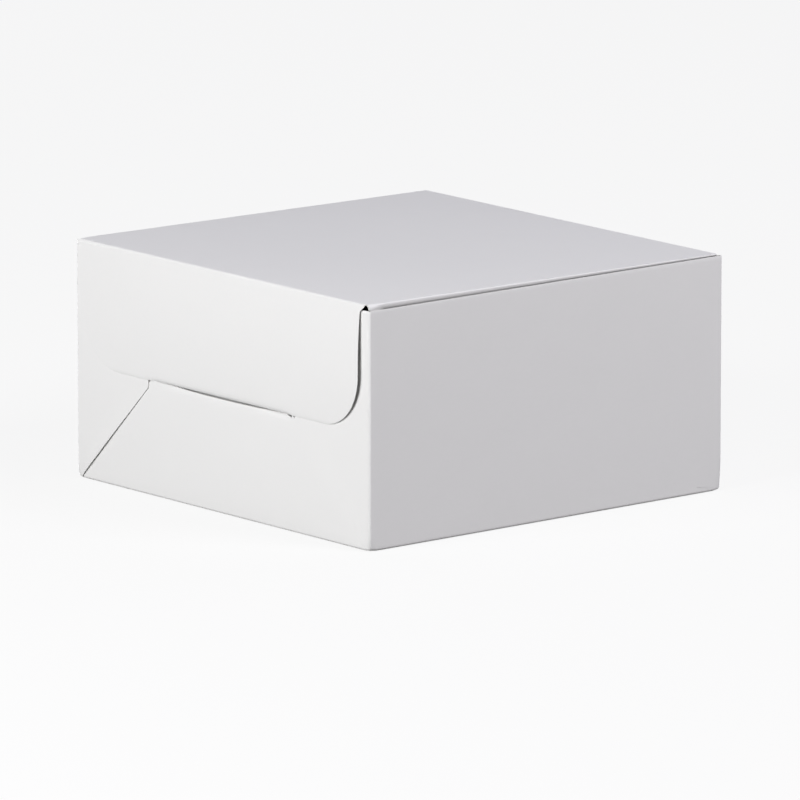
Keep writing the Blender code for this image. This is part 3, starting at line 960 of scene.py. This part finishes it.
def front_flap_sheet(sizes):
    """Outer grid, kept cells and normals of the front flap with its tongue, its fold and its lip.

    A point's column is a share of the half width of its row, and the tongue's columns are the shares inside
    its sides. The left end of the fold reaches further and closes the lid's corner.
    """
    r = sizes.fold
    top, edge = LID_TOP - r, ROLL_FACE - sizes.roll
    widths, heights = flap_half_width(top, sizes)
    tongue_share = TONGUE_HALF / widths[0]
    u = stops((-1, 14), (-tongue_share, 30), (tongue_share, 14), (1, 0))
    corner_cover = 0.0028
    beyond = corner_cover * np.maximum(-u, 0) ** 40

    tongue = tongue_sheet(sizes, np.clip(u / tongue_share, -1, 1))
    z = flap_levels(top, heights)[:, None]
    half = np.interp(z, heights, widths)
    across = u * half - beyond * smooth_step(z, top - 0.0046, top - 0.0006)
    flap = grid(across, flap_depth(across, z, top, sizes), z)
    turn = np.linspace(0, math.pi / 2, 10)[1:, None]
    across = u * edge - beyond * (1 - np.sin(turn) ** 5)
    fold = grid(across, LID_FACE + r - r * np.cos(turn), top + r * np.sin(turn))
    lip = stops((0, 2), (sizes.lip, 0))[1:, None]
    y = LID_FACE + r + lip
    outer = np.concatenate([tongue, flap, fold, grid(u * (edge - lip), y, LID_TOP - lid_fall(y))])

    row = np.arange(len(outer) - 1)[:, None]
    in_tongue = (np.abs((u[:-1] + u[1:]) / 2) < tongue_share)[None]
    normal = facings(outer)
    cut_slant = 1.3  # the flap's side cuts slant, so that its inner face is the narrower one
    normal[len(tongue) : len(tongue) + len(flap), [0, -1], 0] += (-cut_slant, cut_slant)
    return outer, (row >= len(tongue)) | in_tongue, normal


class CAKEBOX_OT_front_flap(bpy.types.Operator):
    """Add the front flap of the lid with its fold and its tongue"""

    bl_idname = "cakebox.front_flap"
    bl_label = "Front flap and tongue"

    def execute(self, context):
        sizes = context.scene.board_sizes
        outer, keep, normal = front_flap_sheet(sizes)
        piece = add_sheet("front_flap_board", outer, keep, normal)
        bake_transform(piece)
        stand_for(piece, "lid_front_flap", "lid_tongue")
        return {"FINISHED"}


def roll_profile(sizes, fallen):
    """Places across and heights up the rolled edge of the lid, from the top of a side flap to the flat lid,
    a column for each share of the lid's fall.

    From the flat lid a tight arc turns down, a wider one turns in under it until the sheet leans in, a
    straight run keeps that lean, and a last arc brings it upright. Both upper arcs are tighter where the
    lid lies lower, and at the front end the sheet lies against the wall and hardly leans in.
    """
    ease, steepest = 0.003, math.radians(55)
    freed = 0.25 + 0.75 * smooth_step(fallen, 0.0, 0.045)
    lean, gap = steepest * freed, (0.0006 + 0.0006 * fallen) * freed
    outside, inside = ROLL_FACE - gap, ROLL_FACE - sizes.tuck * freed
    tight, wide = 0.0009 - 0.0006 * fallen + 0.0022 * (1 - freed), 0.0042 - 0.0034 * fallen
    turn = np.linspace(0, math.pi / 2, 8)[:, None]
    top_x, top_z = outside - tight * (1 - np.cos(turn)), LID_TOP - tight * (1 - np.sin(turn))
    turn = np.linspace(1, 0, 12, endpoint=False)[:, None] * lean
    under_x, under_z = outside - wide * (1 - np.cos(turn)), LID_TOP - tight - wide * np.sin(turn)
    turn = np.linspace(0, 1, 7)[:, None] * lean
    ease_x = inside + ease * (1 - np.cos(turn))
    run = (under_x[0] - ease_x[-1]) / np.tan(lean)
    ease_z = under_z[0] - run - ease * (np.sin(lean) - np.sin(turn))
    edge = ROLL_FACE - sizes.roll
    over_x = stops((edge, 2), (edge - sizes.lip, 0))[:, None] + 0 * fallen
    x = np.concatenate([ease_x, under_x, top_x, over_x])
    return x, np.concatenate([ease_z, under_z, top_z, LID_TOP + 0 * over_x])


def side_flap_sheet(sizes):
    """Outer grid of the right side flap, its rolled edge and its lip on the lid.

    The rows rise from the foot of the flap, round the roll and in over the lid. Just below the roll the
    flap comes out again by a smooth step, so that it lies flat under the lid when it is folded in. A column
    is a share of half the length of its row, about the middle of the lid. All of it falls with the lid.
    """
    front, back = LID_FACE + sizes.fold, BACK_FACE - sizes.fold
    centre, full = (front + back) / 2, (back - front) / 2
    setback, taper, corner = 0.002, 0.009, 0.010
    foot = TUCK_FOOT + lid_fall(LID_BACK_EDGE - setback - taper - corner)
    end, crease = full - setback, LID_TOP - sizes.roll
    lower = [(0, foot, 0), (end - taper, foot, corner)]
    side = rounded_chain([*lower, (end, crease - 0.0008, 0), (full, crease, 0)], 14)[1:]
    across = stops((-1, 24), (-0.86, 60), (1, 0))[None]
    fallen = lid_fall(centre + full * across) / (LID_TOP - HINGE_TOP)
    roll_x, roll_z = roll_profile(sizes, fallen)

    top, step, inside = roll_z[0].min() - 0.001, 0.007, 0.0019
    straight = np.linspace(foot + corner, top - step - 0.001, 5)
    z = merged(side[side[:, 1] < top, 1], straight, np.linspace(top - step, top, 9))[:, None]
    way_out = np.maximum(roll_x[0], ROLL_FACE - inside) - roll_x[0]
    x = np.concatenate([roll_x[0] + way_out * smooth_step(top - z, 0, step), roll_x])
    z = np.concatenate([z + 0 * across, roll_z])
    over = np.maximum(ROLL_FACE - sizes.roll - x, 0) * (z >= LID_TOP)
    y = centre + (np.interp(z, side[:, 1], side[:, 0]) - over) * across
    return grid(x, y, z - lid_fall(y))


class CAKEBOX_OT_side_flaps(bpy.types.Operator):
    """Add the side flaps of the lid with their rolled folds"""

    bl_idname = "cakebox.side_flaps"
    bl_label = "Side flaps"

    def execute(self, context):
        sizes = context.scene.board_sizes
        outer = side_flap_sheet(sizes)
        joints = {joint["name"]: joint for joint in frame["joints"]}
        for word, points in (("right", outer), ("left", mirrored(outer)[0])):
            piece = add_sheet(f"lid_{word}_flap_board", points)
            joint = joints[word + "_flap_fold"]
            pivot, axis = Vector(joint["pos_m"]), Vector(joint["axis"])
            down = axis.cross(Vector((1, 0, 0)))
            down = down if down.z < 0 else -down
            word + "_flap"
            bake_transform(piece)
            stand_for(piece, f"lid_{word}_flap")
        return {"FINISHED"}


# Stage

LAMPS = (  # name, azimuth and elevation in degrees, distance, size, level and colour
    ("key", 3, 20, 1.7, 0.98, 0.925, (1.0, 0.995, 0.995)),
    ("fill", 110, 36, 2.8, 1.1, 0.69, (0.985, 0.965, 1.0)),
    ("left", -95, 5, 2.6, 0.9, 0.30, (0.97, 0.97, 1.0)),
    ("back", 188, 40, 4.0, 1.6, 0.17, (0.82, 0.83, 1.0)),
)


def direction(azimuth, elevation):
    """Unit vector from the box towards a place, by its turn from the front to the right and its height."""
    level = math.cos(elevation)
    return Vector((math.sin(azimuth) * level, -math.cos(azimuth) * level, math.sin(elevation)))


def add_lamp(name, azimuth, elevation, distance, size, level, colour):
    """A square lamp that faces the box, with the power that gives a white surface that faces it this level.

    A lamp of power P lights a surface at a distance d by about P / (pi d^2), where d is large beside the
    lamp, and the level of a white surface is that light over pi.
    """
    light = bpy.data.lights.new(name, "AREA")
    light.size = size
    light.energy = level * math.pi * (math.pi * distance**2)
    light.color = colour
    lamp = bpy.data.objects.new(name, light)
    away = direction(math.radians(azimuth), math.radians(elevation))
    lamp.location = away * distance + Vector((0, 0, LID_TOP / 2))
    lamp.rotation_mode = "QUATERNION"
    lamp.rotation_quaternion = away.to_track_quat("Z", "Y")
    bpy.context.scene.collection.objects.link(lamp)


def seen_rays(tree, *kinds):
    """One for rays of these kinds, such as the camera's own, and nothing for others."""
    path = tree.nodes.new("ShaderNodeLightPath")
    wires = [Wire(tree, path.outputs[f"Is {kind} Ray"]) for kind in kinds]
    return sum(wires[1:], wires[0]).clipped()


def blended(tree, share, first, second):
    """The output of a shader that is this share of the way from the first to the second."""
    mixed = tree.nodes.new("ShaderNodeMixShader")
    plug(tree, mixed.inputs["Fac"], share)
    tree.links.new(first, mixed.inputs[1])
    tree.links.new(second, mixed.inputs[2])
    return mixed.outputs[0]


def floor_finish(colours):
    """Pale floor. What the camera sees is part plain surface, which takes the shadow, and part backdrop.

    From below it is clear, so that the base can be seen. Light that goes on to the box from it is weaker.
    """
    backdrop_share, backdrop_level = 0.88, 1.06
    finish = Finish("pale_floor")
    finish.set(roughness=0.9)
    finish.surface.inputs["Specular IOR Level"].default_value = 0.0
    tree = finish.tree
    seen = finish.mix(finish.noise(0.06, 2.0), grey(0.79), grey(0.81))
    seen_share = seen_rays(tree, "Camera", "Glossy", "Transmission")
    finish.set(base_color=finish.mix(seen_share, grey(0.14), seen))
    values = {"Color": (*colours.backdrop, 1), "Strength": backdrop_level}
    glow = finish.node("ShaderNodeEmission", {}, values, "Emission")
    lit = blended(tree, seen_share * backdrop_share, finish.surface.outputs[0], glow.socket)
    clear = finish.node("ShaderNodeBsdfTransparent", {}, {}, "BSDF")
    below = finish.node("ShaderNodeNewGeometry", {}, {}, "Backfacing")
    tree.links.new(blended(tree, below, lit, clear.socket), tree.nodes["Material Output"].inputs["Surface"])
    return finish.material


def studio_world(colours):
    """Dim surroundings, a pale backdrop for the camera and a grey one for gloss."""
    dim_level, gloss_level = 0.03, 0.22
    world = bpy.data.worlds.new("studio")
    world.use_nodes = True
    tree = world.node_tree
    dim = tree.nodes["Background"]
    dim.inputs["Color"].default_value = (0.88, 0.88, 1.0, 1)
    plug(tree, dim.inputs["Strength"], dim_level + gloss_level * seen_rays(tree, "Glossy", "Transmission"))
    pale = tree.nodes.new("ShaderNodeBackground")
    pale.inputs["Color"].default_value = (*colours.backdrop, 1)
    sky = blended(tree, seen_rays(tree, "Camera"), dim.outputs[0], pale.outputs[0])
    tree.links.new(sky, tree.nodes["World Output"].inputs["Surface"])
    return world


def add_floor(scene, colours):
    """A wide floor in square cells, just below the box so that the two never share a plane."""
    reach, cells, below = 12, 8, 0.0002
    side = np.linspace(-reach, reach, cells + 1)
    points = grid(side[None], side[:, None], -below)
    faces, _ = sheet_faces(np.ones((cells, cells), bool))
    mesh = bpy.data.meshes.new("floor")
    mesh.from_pydata(points.reshape(-1, 3).tolist(), [], faces[: cells**2].tolist())
    mesh.materials.append(floor_finish(colours))
    floor = bpy.data.objects.new("floor", mesh)
    scene.collection.objects.link(floor)


def add_camera(scene, view):
    """A camera set about a point in the box, which aims a little beside that point."""
    camera = bpy.data.objects.new("camera", bpy.data.cameras.new("camera"))
    scene.collection.objects.link(camera)
    scene.camera = camera
    camera.data.lens = view.focal
    camera.data.clip_end = 60
    back = direction(view.azimuth, view.elevation)
    centre = Vector((0, 0, CENTRE_HEIGHT))
    right = Vector((math.cos(view.azimuth), math.sin(view.azimuth), 0))
    aim = centre + right * view.aim_side + back.cross(right) * view.aim_up
    camera.location = centre + back * view.distance
    camera.rotation_mode = "QUATERNION"
    camera.rotation_quaternion = (camera.location - aim).to_track_quat("Z", "Y")


class CAKEBOX_OT_stage(bpy.types.Operator):
    """Add the camera, the floor, the lamps and the sky"""

    bl_idname = "cakebox.stage"
    bl_label = "Camera, floor and light"

    def execute(self, context):
        scene = context.scene
        add_floor(scene, scene.board_colours)
        add_camera(scene, scene.cakebox_view)
        scene.world = studio_world(scene.board_colours)
        for lamp in LAMPS:
            add_lamp(*lamp)
        scene.view_settings.view_transform = "Standard"
        return {"FINISHED"}


OPERATORS = (
    CAKEBOX_OT_base,
    CAKEBOX_OT_sides,
    CAKEBOX_OT_front_wall,
    CAKEBOX_OT_back_wall,
    CAKEBOX_OT_hinge,
    CAKEBOX_OT_glue,
    CAKEBOX_OT_lid,
    CAKEBOX_OT_front_flap,
    CAKEBOX_OT_side_flaps,
    CAKEBOX_OT_stage,
)


class CAKEBOX_PT_panel(bpy.types.Panel):
    """Sizes, colours and pieces of the cake box"""

    bl_idname = "CAKEBOX_PT_panel"
    bl_label = "Cake Box"
    bl_space_type = "VIEW_3D"
    bl_region_type = "UI"
    bl_category = "Cake Box"

    def draw(self, context):
        scene = context.scene
        for group in (scene.board_sizes, scene.board_colours, scene.cakebox_view):
            box = self.layout.box()
            for name in group.bl_rna.properties.keys():
                if name not in ("name", "rna_type"):
                    box.prop(group, name)
        for operator in OPERATORS:
            self.layout.operator(operator.bl_idname)


CLASSES = (BoardSizes, BoardColours, View, *OPERATORS, CAKEBOX_PT_panel)


def register():
    """Registers the classes and the scene's settings."""
    for item in CLASSES:
        bpy.utils.register_class(item)
    bpy.types.Scene.board_sizes = PointerProperty(type=BoardSizes)
    bpy.types.Scene.board_colours = PointerProperty(type=BoardColours)
    bpy.types.Scene.cakebox_view = PointerProperty(type=View)


def unregister():
    """Takes the settings and the classes away again."""
    del bpy.types.Scene.cakebox_view
    del bpy.types.Scene.board_colours
    del bpy.types.Scene.board_sizes
    for item in reversed(CLASSES):
        bpy.utils.unregister_class(item)


def main():
    """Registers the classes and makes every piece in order."""
    register()
    for operator in OPERATORS:
        group, name = operator.bl_idname.split(".")
        getattr(getattr(bpy.ops, group), name)()


if __name__ == "__main__":
    main()
